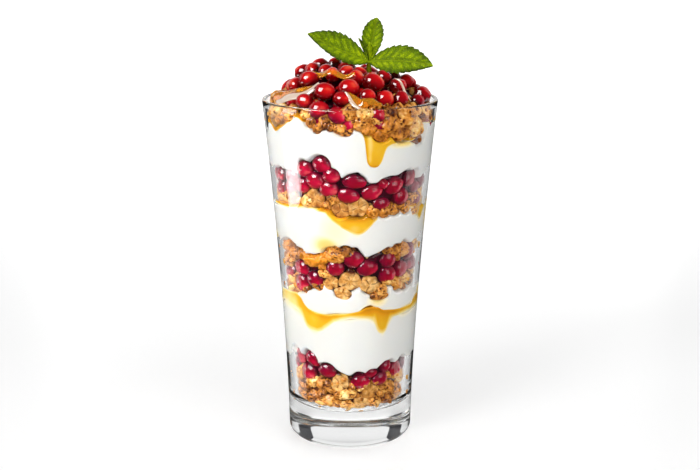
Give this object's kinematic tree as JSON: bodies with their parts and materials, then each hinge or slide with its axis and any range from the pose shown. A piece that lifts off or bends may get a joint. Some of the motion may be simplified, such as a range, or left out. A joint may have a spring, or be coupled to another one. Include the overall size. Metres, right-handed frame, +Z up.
{
  "type": "yogurt parfait in a glass",
  "caption": "Layers of yogurt, honey, granola and pomegranate arils in a tall tapered glass, heaped with arils and topped with a mint sprig.",
  "frame": {"origin": "middle of the glass's foot, on the surface it stands on", "axes": "+Z up along the glass's axis, -Y towards the side shown, +X to the right seen from there"},
  "size_m": [0.0748, 0.0748, 0.1825],
  "materials": {
    "glass": "clear polished",
    "yogurt": "satin, white and creamy",
    "honey": "glossy, see-through amber",
    "granola": "rough, toasted golden brown",
    "arils": "glossy, see-through deep red",
    "mint": "fresh green, finely veined"
  },
  "bodies": {
    "root": {"glass_tumbler": "glass", "granola_low": "granola", "arils_low": "arils", "yogurt_low": "yogurt", "honey_low": "honey", "yogurt_thin": "yogurt", "granola_mid": "granola", "arils_mid": "arils", "crumble": "granola", "yogurt_mid": "yogurt", "honey_mid": "honey", "granola_high": "granola", "arils_high": "arils", "yogurt_high": "yogurt", "honey_high": "honey", "granola_top": "granola", "arils_top": "arils", "mint_sprig": "mint"}
  },
  "joints": []
}
